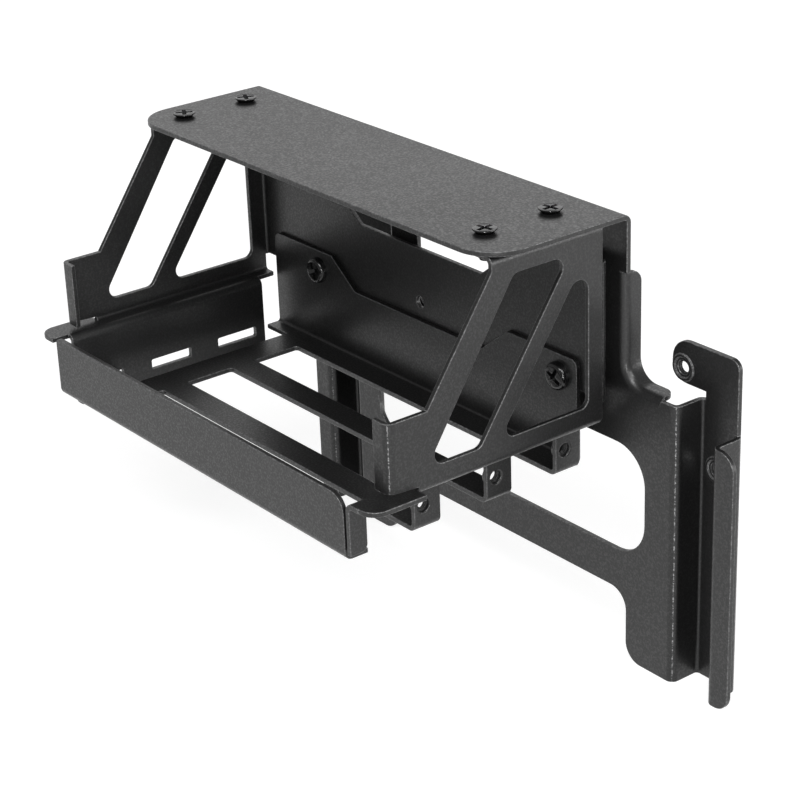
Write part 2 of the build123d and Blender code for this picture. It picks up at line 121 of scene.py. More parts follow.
# Cross recess: its depth as a share of the head's height, and how its wings and cone narrow.
RECESS_DEPTH = 0.72
RECESS_DEPTH_MIN = 0.0012
RECESS_OVERSHOOT = 1.2       # the cutter stands out of the head
WING_TIP_LENGTH = 0.42
WING_TIP_WIDTH = 0.62
CONE_TIP = 0.45              # of the wings' width
CONE_TOP = 0.85
CONE_DEPTH = 1.25            # of the recess
CONE_MIDDLE = 0.45
SHANK_IN_HEAD = 0.1          # of the head's height
TAP_ROOT = 0.3               # of the inset; how far a tapped thread's root lies past the bore

# Powder coat.
DOME_SHARE = 0.55
GRAIN_SHARE = 0.45
SPECKLE_FROM = 0.46
SPECKLE_TO = 0.66
FLAT_SPECKLE = 0.16          # how much the speckles lighten and darken each colour
# The edge colour is the thin coat of cut edges, made lighter still as a painted highlight.
EDGE_AND_HIGHLIGHT_SPECKLE = 0.5
# The bend colour is a painted highlight, and its speckles make it a speckled painted highlight.
BEND_HIGHLIGHT_SPECKLE = 0.85
BLOTCH_GLOSS = 0.04          # swings of the roughness
SPECKLE_GLOSS = 0.06
CLEAR_LOW = 0.26             # weights of the clear layer between and on the speckles
CLEAR_HIGH = 0.58
SMOOTHER_GLOSS = 0.08            # the thin coat of the edges, the painted highlight of the bends and the clear layer are smoother by this
SMOOTHEST = 0.05
COAT_IOR = 1.45

# Black plating of the screws.
HAZE_SCALE = 2600.0
HAZE_DARK = 0.7
HAZE_LIGHT = 1.4
HAZE_SMOOTH = 0.06
HAZE_ROUGH = 0.08
HAZE_BUMP = 0.4
HAZE_DEPTH = 0.00001
PLATING_CLEAR = 0.2
PLATING_CLEAR_GLOSS = 0.08

# Stage, in metres from the middle of the object and shares of white.
FLOOR_HALF = 6
FLOOR_ROUGHNESS = 0.9
FLOOR_NEAR = 0.3
FLOOR_FAR = 1.0
FLOOR_NEAR_WHITE = 0.78
FLOOR_IN_GLOSS = 0.6
WORLD_IN_GLOSS = 0.35
WORLD_FILL = 0.05
SENSOR_WIDTH = 36
CAMERA_SHIFT = (-0.0012, -0.0004)
CLIP_START = 0.01

# Each lamp's name, place, width, height and the setting with its power.
LAMPS = (
    ("front_softbox", (0.4, -0.7, 0.95), 0.7, 0.5, "front_power"),
    ("side_softbox", (0.9, -0.1, 0.8), 0.7, 0.5, "side_power"),
    ("rear_softbox", (-0.9, 0.6, 0.6), 0.9, 0.6, "rear_power"),
    ("low_right", (0.75, 0.57, 0.12), 0.7, 0.35, "low_right_power"),
    ("low_strip", (0.56, -0.43, 0.06), 0.06, 0.3, "strip_power"),
)


class CoatSettings(bpy.types.PropertyGroup):
    """Powder coat on the folded sheets."""
    color: bpy.props.FloatVectorProperty(
        name="Colour", description="Colour of the powder coat",
        subtype="COLOR", size=3, min=0, max=1, default=(0.006, 0.006, 0.0061))
    # Thin coat on the cut edges, made lighter as a painted highlight.
    thin_edge_and_highlight_color: bpy.props.FloatVectorProperty(
        name="Edge colour", description="Colour where the coat is thin along cut edges, lightened as a painted highlight",
        subtype="COLOR", size=3, min=0, max=1, default=(0.1, 0.1, 0.101))
    # Painted highlight along the outside of the upright bends.
    bend_highlight_color: bpy.props.FloatVectorProperty(
        name="Bend colour", description="Colour of the painted highlight on the outside of a bend",
        subtype="COLOR", size=3, min=0, max=1, default=(0.17, 0.17, 0.172))
    roughness: bpy.props.FloatProperty(
        name="Roughness", description="Gloss of the coat, low is shiny",
        subtype="FACTOR", min=0, max=1, default=0.38)
    grain_size: bpy.props.FloatProperty(
        name="Grain size", description="Width of one bump of the powder texture",
        unit="LENGTH", min=0.00005, max=0.005, default=0.0005)
    grain_depth: bpy.props.FloatProperty(
        name="Grain depth", description="Height of the bumps of the powder texture",
        unit="LENGTH", min=0, max=0.001, default=0.00003)
    edge_radius: bpy.props.FloatProperty(
        name="Edge radius", description="Rounding that the coat gives to cut edges",
        unit="LENGTH", min=0.00002, max=0.0005, default=0.00018)


class ScrewSettings(bpy.types.PropertyGroup):
    """Black screws: flat heads on the top plate and pan heads on the ears."""
    color: bpy.props.FloatVectorProperty(
        name="Colour", description="Colour of the black plating",
        subtype="COLOR", size=3, min=0, max=1, default=(0.004, 0.004, 0.0042))
    roughness: bpy.props.FloatProperty(
        name="Roughness", description="Gloss of the plating, low is shiny",
        subtype="FACTOR", min=0, max=1, default=0.2)
    shank_radius: bpy.props.FloatProperty(
        name="Shank radius", description="Radius over the crests of the thread",
        unit="LENGTH", default=0.00145)
    pitch: bpy.props.FloatProperty(
        name="Pitch", description="Distance from one turn of the thread to the next",
        unit="LENGTH", min=0.0002, default=0.0005)
    thread_depth: bpy.props.FloatProperty(
        name="Thread depth", description="Depth of the thread's groove",
        unit="LENGTH", default=0.00024)
    top_head: bpy.props.FloatProperty(
        name="Top head height", description="Height of the heads on the top plate",
        unit="LENGTH", default=0.00105)
    ear_head: bpy.props.FloatProperty(
        name="Ear head height", description="Height of the heads on the tray's ears",
        unit="LENGTH", default=0.0019)
    rim: bpy.props.FloatProperty(
        name="Rim", description="Straight edge of the flat heads",
        unit="LENGTH", default=0.00025)
    seat_radius: bpy.props.FloatProperty(
        name="Seat radius", description="Radius of the flat heads where they meet the plate",
        unit="LENGTH", default=0.00195)
    wing_width: bpy.props.FloatProperty(
        name="Recess width", description="Width of the wings of the cross recess",
        unit="LENGTH", default=0.0011)
    wing_share: bpy.props.FloatProperty(
        name="Recess share", description="Length of the cross recess against the head's width",
        subtype="FACTOR", min=0.2, max=0.95, default=0.84)


class TapSettings(bpy.types.PropertyGroup):
    """Threads of the tapped holes."""
    pitch: bpy.props.FloatProperty(
        name="Pitch", description="Distance from one turn to the next",
        unit="LENGTH", min=0.0002, default=0.0005)
    depth: bpy.props.FloatProperty(
        name="Thread depth", description="How far the ridge stands into the hole",
        unit="LENGTH", default=0.00022)
    sheet: bpy.props.FloatProperty(
        name="Thread length", description="Length of thread in the holes of the stand",
        unit="LENGTH", default=0.0012)
    inset: bpy.props.FloatProperty(
        name="Inset", description="How far the thread starts inside the hole",
        unit="LENGTH", default=0.00012)


class StageSettings(bpy.types.PropertyGroup):
    """Floor, light and camera."""
    floor_color: bpy.props.FloatVectorProperty(
        name="Floor colour", description="Colour of the floor and backdrop",
        subtype="COLOR", size=3, min=0, max=1, default=(0.42, 0.42, 0.42))
    lens: bpy.props.FloatProperty(
        name="Lens", description="Focal length of the camera",
        unit="CAMERA", default=101.64)
    azimuth: bpy.props.FloatProperty(
        name="Azimuth", description="Camera's bearing round the object",
        subtype="ANGLE", default=math.radians(52.497))
    elevation: bpy.props.FloatProperty(
        name="Elevation", description="Camera's angle above the horizon",
        subtype="ANGLE", default=math.radians(24.307))
    roll: bpy.props.FloatProperty(
        name="Roll", description="Camera's turn about its own axis",
        subtype="ANGLE", default=math.radians(-2.168))
    position: bpy.props.FloatVectorProperty(
        name="Position", description="Place of the camera",
        subtype="TRANSLATION", unit="LENGTH", size=3, default=(0.37284, -0.32542, 0.19888))
    front_power: bpy.props.FloatProperty(
        name="Front light", description="Power of the softbox above the front",
        unit="POWER", default=10.0)
    side_power: bpy.props.FloatProperty(
        name="Side light", description="Power of the softbox above the right side",
        unit="POWER", default=8.0)
    rear_power: bpy.props.FloatProperty(
        name="Rear light", description="Power of the softbox that shines on the top plate",
        unit="POWER", default=1.5)
    low_right_power: bpy.props.FloatProperty(
        name="Low right light", description="Power of the low softbox on the right faces",
        unit="POWER", default=3.2)
    strip_power: bpy.props.FloatProperty(
        name="Low strip", description="Power of the low strip that draws the bends",
        unit="POWER", default=1.6)


def shader_node(tree, kind, inputs, location):
    """A shader node with its inputs linked or set from a dictionary."""
    node = tree.nodes.new(kind)
    node.location = location
    for name, value in inputs.items():
        if isinstance(value, bpy.types.NodeSocket):
            tree.links.new(value, node.inputs[name])
        else:
            node.inputs[name].default_value = value
    return node


def math_node(tree, operation, first, second, location):
    """A Math node's result, whose operands are sockets or numbers."""
    node = shader_node(tree, "ShaderNodeMath", {0: first, 1: second}, location)
    node.operation = operation
    return node.outputs[0]


def new_group(name, inputs, outputs):
    """An empty shader node group with named sockets, and its input and output nodes."""
    group = bpy.data.node_groups.new(name, "ShaderNodeTree")
    for label, kind, default in inputs:
        socket = group.interface.new_socket(label, in_out="INPUT", socket_type=kind)
        socket.default_value = default
    for label, kind in outputs:
        group.interface.new_socket(label, in_out="OUTPUT", socket_type=kind)
    entry = group.nodes.new("NodeGroupInput")
    entry.location = (-900, 0)
    leave = group.nodes.new("NodeGroupOutput")
    leave.location = (700, 0)
    return group, entry, leave


def powder_texture_group():
    """Fine orange peel of a powder coat: bump height, speckle mask and soft blotches."""
    name = "Powder Texture"
    if name in bpy.data.node_groups:
        return bpy.data.node_groups[name]
    number = "NodeSocketFloat"
    group, entry, leave = new_group(
        name,
        [("Grain Size", number, 0.0005), ("Blotch Size", number, 0.03)],
        [("Height", number), ("Speckle", number), ("Blotch", number)])
    place = shader_node(group, "ShaderNodeTexCoord", {}, (-900, -300)).outputs["Object"]
    fine = math_node(group, "DIVIDE", 1.0, entry.outputs["Grain Size"], (-650, 200))
    broad = math_node(group, "DIVIDE", 1.0, entry.outputs["Blotch Size"], (-650, -400))
    cells = shader_node(group, "ShaderNodeTexVoronoi", {
        "Vector": place, "Scale": fine, "Randomness": 1.0,
    }, (-400, 250))
    grain = shader_node(group, "ShaderNodeTexNoise", {
        "Vector": place, "Scale": fine, "Detail": 2.0, "Roughness": 0.55,
    }, (-400, 0))
    cloud = shader_node(group, "ShaderNodeTexNoise", {
        "Vector": place, "Scale": broad, "Detail": 3.0, "Roughness": 0.5,
    }, (-400, -350))
    domes = math_node(group, "SUBTRACT", 1.0, cells.outputs["Distance"], (-150, 250))
    dome_height = math_node(group, "MULTIPLY", domes, DOME_SHARE, (50, 250))
    grain_height = math_node(group, "MULTIPLY", grain.outputs["Fac"], GRAIN_SHARE, (50, 50))
    height = math_node(group, "ADD", dome_height, grain_height, (300, 200))
    speckle = shader_node(group, "ShaderNodeMapRange", {
        "Value": grain.outputs["Fac"], "From Min": SPECKLE_FROM, "From Max": SPECKLE_TO,
    }, (300, -50))
    group.links.new(height, leave.inputs["Height"])
    group.links.new(speckle.outputs["Result"], leave.inputs["Speckle"])
    group.links.new(cloud.outputs["Fac"], leave.inputs["Blotch"])
    return group


def blend_colors(tree, factor, color, dark, light, location):
    """A Mix node's colour, from the dark to the light share of the given colour."""
    node = tree.nodes.new("ShaderNodeMix")
    node.data_type = "RGBA"
    node.location = location
    tree.links.new(factor, node.inputs["Factor"])
    node.inputs["A"].default_value = (*(channel * dark for channel in color), 1)
    node.inputs["B"].default_value = (*(channel * light for channel in color), 1)
    return node.outputs["Result"]


def blend_values(tree, factor, low, high, location):
    """A Map Range node's result, which turns a 0 to 1 mask into the range from low to high."""
    node = shader_node(
        tree, "ShaderNodeMapRange", {"Value": factor, "To Min": low, "To Max": high}, location)
    return node.outputs["Result"]


def new_material(name):
    """A material, its tree and its Principled BSDF."""
    material = bpy.data.materials.new(name)
    material.use_nodes = True
    tree = material.node_tree
    return material, tree, tree.nodes["Principled BSDF"]


def coat_material(name, coat, color, roughness, speckle_gain):
    """Powder coat: speckled colour, uneven gloss and a fine bump."""
    material, tree, surface = new_material(name)
    texture = tree.nodes.new("ShaderNodeGroup")
    texture.node_tree = powder_texture_group()
    texture.location = (-900, 0)
    texture.inputs["Grain Size"].default_value = coat.grain_size
    speckle = texture.outputs["Speckle"]
    tint = blend_colors(tree, speckle, color, 1 - speckle_gain, 1 + speckle_gain, (-500, 200))
    tree.links.new(tint, surface.inputs["Base Color"])
    broad = blend_values(tree, texture.outputs["Blotch"], -BLOTCH_GLOSS, BLOTCH_GLOSS, (-700, -50))
    fine = blend_values(
        tree, speckle, roughness + SPECKLE_GLOSS, roughness - SPECKLE_GLOSS, (-700, -250))
    gloss = math_node(tree, "ADD", broad, fine, (-500, -50))
    tree.links.new(gloss, surface.inputs["Roughness"])
    bump = shader_node(tree, "ShaderNodeBump", {
        "Strength": 1.0, "Distance": coat.grain_depth, "Height": texture.outputs["Height"],
    }, (-500, -350))
    tree.links.new(bump.outputs["Normal"], surface.inputs["Normal"])
    clear = blend_values(tree, speckle, CLEAR_LOW, CLEAR_HIGH, (-500, -200))
    tree.links.new(clear, surface.inputs["Coat Weight"])
    surface.inputs["Coat Roughness"].default_value = max(roughness - SMOOTHER_GLOSS, SMOOTHEST)
    surface.inputs["IOR"].default_value = COAT_IOR
    return material


def screw_material(name, screw):
    """Black plated steel with a faint haze."""
    material, tree, surface = new_material(name)
    place = shader_node(tree, "ShaderNodeTexCoord", {}, (-1100, 0)).outputs["Object"]
    haze = shader_node(tree, "ShaderNodeTexNoise", {
        "Vector": place, "Scale": HAZE_SCALE, "Detail": 3.0, "Roughness": 0.6,
    }, (-850, 0)).outputs["Fac"]
    tint = blend_colors(tree, haze, screw.color, HAZE_DARK, HAZE_LIGHT, (-500, 200))
    tree.links.new(tint, surface.inputs["Base Color"])
    smooth, rough = screw.roughness - HAZE_SMOOTH, screw.roughness + HAZE_ROUGH
    gloss = blend_values(tree, haze, smooth, rough, (-500, -50))
    tree.links.new(gloss, surface.inputs["Roughness"])
    bump = shader_node(tree, "ShaderNodeBump", {
        "Strength": HAZE_BUMP, "Distance": HAZE_DEPTH, "Height": haze,
    }, (-500, -350))
    tree.links.new(bump.outputs["Normal"], surface.inputs["Normal"])
    surface.inputs["Coat Weight"].default_value = PLATING_CLEAR
    surface.inputs["Coat Roughness"].default_value = PLATING_CLEAR_GLOSS
    return material


def coat_materials(scene):
    """The coat of the flats; of the cut edges, thin there and lightened as a painted highlight;
    and of the outside of the bends, a painted highlight; made once.
    """
    coat = scene.mount_coat
    # Gloss of the edge material, thin coat with a painted highlight, and of the bend material, a
    # painted highlight.
    thin = coat.roughness - SMOOTHER_GLOSS
    looks = {
        "powder_coat": (coat.color, coat.roughness, FLAT_SPECKLE),
        "powder_coat_edge": (coat.thin_edge_and_highlight_color, thin, EDGE_AND_HIGHLIGHT_SPECKLE),
        "powder_coat_bend": (coat.bend_highlight_color, thin, BEND_HIGHLIGHT_SPECKLE),
    }
    made = bpy.data.materials
    return [made.get(name) or coat_material(name, coat, *look) for name, look in looks.items()]


def smooth_but_sharp(mesh, angle):
    """Smooth shading, apart from edges sharper than the angle in degrees."""
    mesh.shade_smooth()
    mesh.set_sharp_from_angle(angle=math.radians(angle))


def on_upright_bend(face):
    """True for a strip on the outside of a long upright bend, where a highlight is painted."""
    slanted = max(abs(part) for part in face.normal) < BEND_FACING
    upright = abs(face.normal.z) < BEND_TILT
    steps = [edge.calc_face_angle_signed() for edge in face.edges if edge.is_manifold]
    soft = [step for step in steps if BEND_STEP_MIN < step < BEND_STEP_MAX]
    longest = max(edge.calc_length() for edge in face.edges)
    return slanted and upright and len(soft) > 1 and longest > BEND_LENGTH


def coated_sheet(node_name, scene):
    """A copy of one folded sheet with its cut edges rounded by the coat, in place of its node."""
    coat = scene.mount_coat
    materials = coat_materials(scene)
    bm = bmesh.new()
    bm.from_mesh(frame["nodes"][node_name].data)
    bmesh.ops.remove_doubles(bm, verts=bm.verts, dist=MERGE_DISTANCE)
    bmesh.ops.dissolve_limit(
        bm, angle_limit=math.radians(FLAT_ANGLE), verts=bm.verts, edges=bm.edges)
    skin = BVHTree.FromBMesh(bm)
    # Strips on the outside of long upright bends get the bend material, a painted highlight.
    for face in bm.faces:
        if on_upright_bend(face):
            face.material_index = BEND_SLOT
    sharp = math.radians(CUT_EDGE_ANGLE)
    cut_edges = [
        edge for edge in bm.edges if edge.is_manifold and edge.calc_face_angle() > sharp]
    rounded = bmesh.ops.bevel(
        bm, geom=cut_edges, offset=coat.edge_radius, offset_type="OFFSET", affect="EDGES",
        segments=2, profile=0.5, material=-1)
    # The rounded cut edges get the edge material: thin coat, lightened as a painted highlight.
    for face in rounded["faces"]:
        face.material_index = EDGE_SLOT
    # Where cut edges run into a bend the bevel can spike, and such a vertex goes back.
    for vert in bm.verts:
        place, _normal, _index, distance = skin.find_nearest(vert.co)
        if distance > coat.edge_radius * SPIKE_SHARE:
            vert.co = place
    mesh = bpy.data.meshes.new(f"{node_name}_coated")
    bm.to_mesh(mesh)
    bm.free()
    for material in materials:
        mesh.materials.append(material)
    smooth_but_sharp(mesh, SHEET_SHARP_ANGLE)
    piece = bpy.data.objects.new(f"{node_name}_coated", mesh)
    scene.collection.objects.link(piece)
    weighted = piece.modifiers.new("Flat faces first", "WEIGHTED_NORMAL")
    weighted.keep_sharp = True
    weighted.weight = FLAT_WEIGHT
    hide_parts(node_name)
    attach(piece, BODY)


def finish_piece(name, bm, material):
    """Turns a bmesh into an object, smooth but for its sharp edges."""
    bmesh.ops.remove_doubles(bm, verts=bm.verts, dist=MERGE_DISTANCE)
    bmesh.ops.recalc_face_normals(bm, faces=bm.faces)
    mesh = bpy.data.meshes.new(name)
    bm.to_mesh(mesh)
    bm.free()
    mesh.materials.append(material)
    smooth_but_sharp(mesh, PIECE_SHARP_ANGLE)
    piece = bpy.data.objects.new(name, mesh)
    bpy.context.scene.collection.objects.link(piece)
    return piece


def standing_at(place, facing):
    """The matrix that takes a shape made along Z to its place, with its top facing that way."""
    stand = Vector(facing).to_track_quat("Z", "Y").to_matrix().to_4x4()
    return Matrix.Translation(place) @ stand


def set_in_place(piece, bm, matrix):
    """Moves a bmesh by the matrix and gives it to the piece as its mesh."""
    bmesh.ops.transform(bm, verts=bm.verts, matrix=matrix)
    bm.to_mesh(piece.data)
    bm.free()
    smooth_but_sharp(piece.data, PIECE_SHARP_ANGLE)


def open_profile(bm, points):
    """A line of vertices and edges over X and Z, ready to be turned about Z."""
    verts = [bm.verts.new((x, 0, z)) for x, z in points]
    return verts + [bm.edges.new(pair) for pair in zip(verts, verts[1:])]


def threaded_rod(bm, root, crest, pitch, low, high):
    """A threaded rod along Z between two heights, closed at both ends."""
    turns = math.ceil((high - low) / pitch) + 2
    start = low - pitch
    radii = {"R": root, "C": crest}
    profile = open_profile(bm, [(radii[at], start + share * pitch) for at, share in THREAD_TURN])
    bmesh.ops.spin(
        bm, geom=profile, cent=(0, 0, 0), axis=(0, 0, 1), dvec=(0, 0, pitch / THREAD_STEPS),
        angle=math.tau * turns, steps=THREAD_STEPS * turns, use_merge=False, use_duplicate=False)
    bmesh.ops.remove_doubles(bm, verts=bm.verts, dist=MERGE_DISTANCE)
    for height, below in ((low, True), (high, False)):
        bmesh.ops.bisect_plane(
            bm, geom=bm.verts[:] + bm.edges[:] + bm.faces[:], dist=PLANE_DISTANCE,
            plane_co=(0, 0, height), plane_no=(0, 0, 1), clear_inner=below, clear_outer=not below)
    rims = [edge for edge in bm.edges if edge.is_boundary]
    bmesh.ops.holes_fill(bm, edges=rims, sides=0)


def turned_head(bm, points):
    """A screw's head turned about Z, standing on the plane of Z 0."""
    bmesh.ops.spin(
        bm, geom=open_profile(bm, points), cent=(0, 0, 0), axis=(0, 0, 1), angle=math.tau,
        steps=HEAD_STEPS, use_merge=True)
    bmesh.ops.remove_doubles(bm, verts=bm.verts, dist=MERGE_DISTANCE)


def pan_head(radius, height):
    """Half the outline of a pan head, from the middle of its crown to its seat."""
    arc = height * PAN_ROUND
    crown = height * PAN_CROWN
    points = [(0.0, height), (radius * PAN_FLAT, height - crown * PAN_DROP)]
    for step in range(PAN_STEPS + 1):
        turn = math.radians(90) * step / PAN_STEPS
        points.append((
            radius - arc + arc * math.sin(turn), height - crown - arc + arc * math.cos(turn)))
    return points + [(radius, 0.0), (0.0, 0.0)]


def flat_head(radius, height, screw):
    """Half the outline of a flat head with a thin rim, narrower towards its seat."""
    ease = screw.rim * FLAT_EASE
    middle = ease * FLAT_EASE_MIDDLE
    return [
        (0.0, height), (radius - ease, height), (radius - middle, height - middle),
        (radius, height - ease), (radius, height - screw.rim), (screw.seat_radius, 0.0),
        (0.0, 0.0)]


def recess_cutters(name, radius, height, screw):
    """Two crossed wings and a cone, the shape of a cross driver's tip."""
    cutters = []
    reach = radius * screw.wing_share
    depth = max(height * RECESS_DEPTH, RECESS_DEPTH_MIN)
    for turn in (0, 90):
        bm = bmesh.new()
        bmesh.ops.create_cube(bm, size=2)
        for vert in bm.verts:
            top = vert.co.z > 0
            vert.co.x *= reach if top else reach * WING_TIP_LENGTH
            vert.co.y *= screw.wing_width / 2 * (1.0 if top else WING_TIP_WIDTH)
            vert.co.z = height * RECESS_OVERSHOOT if top else height - depth
        bmesh.ops.rotate(
            bm, verts=bm.verts, matrix=Matrix.Rotation(math.radians(turn), 3, "Z"))
        cutters.append((f"{name}_wing_{turn}", bm))
    bm = bmesh.new()
    bmesh.ops.create_cone(
        bm, cap_ends=True, segments=RECESS_STEPS, radius1=screw.wing_width * CONE_TIP,
        radius2=screw.wing_width * CONE_TOP, depth=depth * CONE_DEPTH,
        matrix=Matrix.Translation((0, 0, height - depth * CONE_MIDDLE)))
    cutters.append((f"{name}_cone", bm))
    return cutters


def cut_away(piece, cutters):
    """Cuts each of the shapes out of the piece, one by one, and keeps the result as its mesh."""
    for name, bm in cutters:
        mesh = bpy.data.meshes.new(name)
        bm.to_mesh(mesh)
        bm.free()
        cutter = bpy.data.objects.new(name, mesh)
        bpy.context.scene.collection.objects.link(cutter)
        cut = piece.modifiers.new(name, "BOOLEAN")
        cut.operation = "DIFFERENCE"
        cut.solver = "EXACT"
        cut.object = cutter
        graph = bpy.context.evaluated_depsgraph_get()
        result = bpy.data.meshes.new_from_object(piece.evaluated_get(graph))
        piece.modifiers.clear()
        old = piece.data
        piece.data = result
        result.name = old.name
        bpy.data.meshes.remove(old)
        bpy.data.objects.remove(cutter)
        bpy.data.meshes.remove(mesh)


def build_screw(node_name, head_height, facing, turn, scene):
    """One screw in the place of its node: facing is where its head looks."""
    screw = scene.mount_screws
    plating = "black_plating"
    material = bpy.data.materials.get(plating) or screw_material(plating, screw)
    low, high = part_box(node_name)
    size = high - low
    along = Vector(facing)
    total = abs(size.dot(along))
    radius = max(part for part, on_axis in zip(size, along) if not on_axis) / 2
    seat = (low + high) / 2 + along * (total / 2 - head_height)
    bm = bmesh.new()
    if node_name in TOP_SCREWS:
        turned_head(bm, flat_head(radius, head_height, screw))
    else:
        turned_head(bm, pan_head(radius, head_height))
    piece = finish_piece(f"{node_name}_detailed", bm, material)
    cut_away(piece, recess_cutters(node_name, radius, head_height, screw))
    bm = bmesh.new()
    threaded_rod(
        bm, screw.shank_radius - screw.thread_depth, screw.shank_radius, screw.pitch,
        head_height - total, head_height * SHANK_IN_HEAD)
    shank = finish_piece(f"{node_name}_shank", bm, material)
    bm = bmesh.new()
    bm.from_mesh(piece.data)
    bm.from_mesh(shank.data)
    bpy.data.objects.remove(shank)
    turned = Matrix.Rotation(math.radians(turn), 4, "Z")
    set_in_place(piece, bm, standing_at(seat, facing) @ turned)
    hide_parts(node_name)
    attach(piece, BODY)


def tapped_thread(name, middle, axis, radius, length, scene):
    """The threaded wall of one tapped hole, set into the sheet round it."""
    tap = scene.mount_taps
    wall = radius + tap.inset
    half = length / 2 - tap.inset
    bm = bmesh.new()
    bmesh.ops.create_cone(
        bm, cap_ends=True, segments=HOLE_STEPS, radius1=wall, radius2=wall, depth=2 * half)
    piece = finish_piece(name, bm, coat_materials(scene)[FLAT_SLOT])
    bm = bmesh.new()
    threaded_rod(
        bm, radius - tap.depth, radius + tap.inset * TAP_ROOT, tap.pitch,
        -half - tap.pitch, half + tap.pitch)
    bmesh.ops.recalc_face_normals(bm, faces=bm.faces)
    cut_away(piece, [(f"{name}_tap", bm)])
    bm = bmesh.new()
    bm.from_mesh(piece.data)
    set_in_place(piece, bm, standing_at(middle, axis))
    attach(piece, BODY)


class MOUNT_OT_stand(bpy.types.Operator):
    """Coat the stand with its hooks, legs, back wall and top plate"""
    bl_idname = "mount.stand"
    bl_label = "Coat Stand"

    def execute(self, context):
        coated_sheet("main_bracket", context.scene)
        return {"FINISHED"}


class MOUNT_OT_cage(bpy.types.Operator):
    """Coat the cage with its slanted windows"""
    bl_idname = "mount.cage"
    bl_label = "Coat Cage"

    def execute(self, context):
        coated_sheet("cage", context.scene)
        return {"FINISHED"}


class MOUNT_OT_card_tray(bpy.types.Operator):
    """Coat the card tray with its comb and tabs"""
    bl_idname = "mount.card_tray"
    bl_label = "Coat Card Tray"

    def execute(self, context):
        coated_sheet("card_tray", context.scene)
        return {"FINISHED"}


class MOUNT_OT_top_screws(bpy.types.Operator):
    """Build the four screws of the top plate"""
    bl_idname = "mount.top_screws"
    bl_label = "Build Top Screws"

    def execute(self, context):
        scene = context.scene
        for name, turn in TOP_SCREWS.items():
            build_screw(name, scene.mount_screws.top_head, (0, 0, 1), turn, scene)
        return {"FINISHED"}


class MOUNT_OT_ear_screws(bpy.types.Operator):
    """Build the two screws of the tray's ears"""
    bl_idname = "mount.ear_screws"
    bl_label = "Build Ear Screws"

    def execute(self, context):
        scene = context.scene
        for name, turn in EAR_SCREWS.items():
            build_screw(name, scene.mount_screws.ear_head, (0, -1, 0), turn, scene)
        return {"FINISHED"}


class MOUNT_OT_tapped_holes(bpy.types.Operator):
    """Cut the threads of the holes in the tray's tabs, the hooks and the webs"""
    bl_idname = "mount.tapped_holes"
    bl_label = "Tap Holes"

    def execute(self, context):
        scene = context.scene
        sheet = scene.mount_taps.sheet
        for mount in frame["record"]["mounts"]:
            name, sizes = mount["name"], mount["dims"]
            place, axis = Vector(mount["pos_m"]), Vector(mount["axis"])
            if mount["kind"] == "threaded_hole":
                radius, length = sizes["r_mm"] / 1000, sizes["length_mm"] / 1000
                tapped_thread(f"{name}_thread", place, axis, radius, length, scene)
            elif mount["kind"] == "bolt_pattern":
                radius = sizes["hole_r_mm"] / 1000
                for side, word in ((-0.5, "left"), (0.5, "right")):
                    across = Vector((side * sizes["spacing_x_mm"] / 1000, 0, 0))
                    middle = place + across - axis * sheet / 2
                    tapped_thread(f"{name}_{word}_thread", middle, axis, radius, sheet, scene)
        return {"FINISHED"}


def area_lamp(name, place, target, width, height, power):
    """A soft rectangular lamp that looks at the target."""
    light = bpy.data.lights.new(name, "AREA")
    light.shape = "RECTANGLE"
    light.size = width
    light.size_y = height
    light.energy = power
    lamp = bpy.data.objects.new(name, light)
    lamp.location = place
    lamp.rotation_mode = "QUATERNION"
    lamp.rotation_quaternion = (target - place).to_track_quat("-Z", "Y")
    bpy.context.scene.collection.objects.link(lamp)


def floor_material(color):
    """Pale floor that the camera sees near white, with the object's shadow kept."""
    material, tree, surface = new_material("studio_floor")
    surface.inputs["Base Color"].default_value = (*color, 1)
    surface.inputs["Roughness"].default_value = FLOOR_ROUGHNESS
    surface.inputs["Specular IOR Level"].default_value = 0.0
    path = shader_node(tree, "ShaderNodeLightPath", {}, (0, 0))
    place = shader_node(tree, "ShaderNodeTexCoord", {}, (-1100, -300))
    reach = shader_node(tree, "ShaderNodeVectorMath", {0: place.outputs["Object"]}, (-900, -300))
    reach.operation = "LENGTH"
    # Near the object the floor keeps its shadow, and far away it is the backdrop's white.
    sweep = shader_node(tree, "ShaderNodeMapRange", {
        "Value": reach.outputs["Value"], "From Min": FLOOR_NEAR, "From Max": FLOOR_FAR,
        "To Min": FLOOR_NEAR_WHITE, "To Max": 1.0,
    }, (-700, -300)).outputs["Result"]
    seen = math_node(tree, "MULTIPLY", path.outputs["Is Camera Ray"], sweep, (-500, -400))
    mirrored = math_node(
        tree, "MULTIPLY", path.outputs["Is Glossy Ray"], FLOOR_IN_GLOSS, (-500, -600))
    lift = math_node(tree, "MAXIMUM", seen, mirrored, (-300, -400))
    surface.inputs["Emission Color"].default_value = (1, 1, 1, 1)
    tree.links.new(lift, surface.inputs["Emission Strength"])
    return material


def studio_world():
    """White backdrop for the camera, dimmer in reflections, with a plain soft fill."""
    world = bpy.data.worlds.new("studio")
    world.use_nodes = True
    tree = world.node_tree
    back = tree.nodes["Background"]
    rays = tree.nodes.new("ShaderNodeLightPath").outputs
    seen = math_node(
        tree, "MAXIMUM", rays["Is Camera Ray"], rays["Is Transmission Ray"], (-700, 0))
    mirrored = math_node(tree, "MULTIPLY", rays["Is Glossy Ray"], WORLD_IN_GLOSS, (-700, -200))
    both = math_node(tree, "MAXIMUM", seen, mirrored, (-500, 0))
    strength = math_node(tree, "MAXIMUM", both, WORLD_FILL, (-300, 0))
    tree.links.new(strength, back.inputs["Strength"])
    back.inputs["Color"].default_value = (1, 1, 1, 1)
    bpy.context.scene.world = world


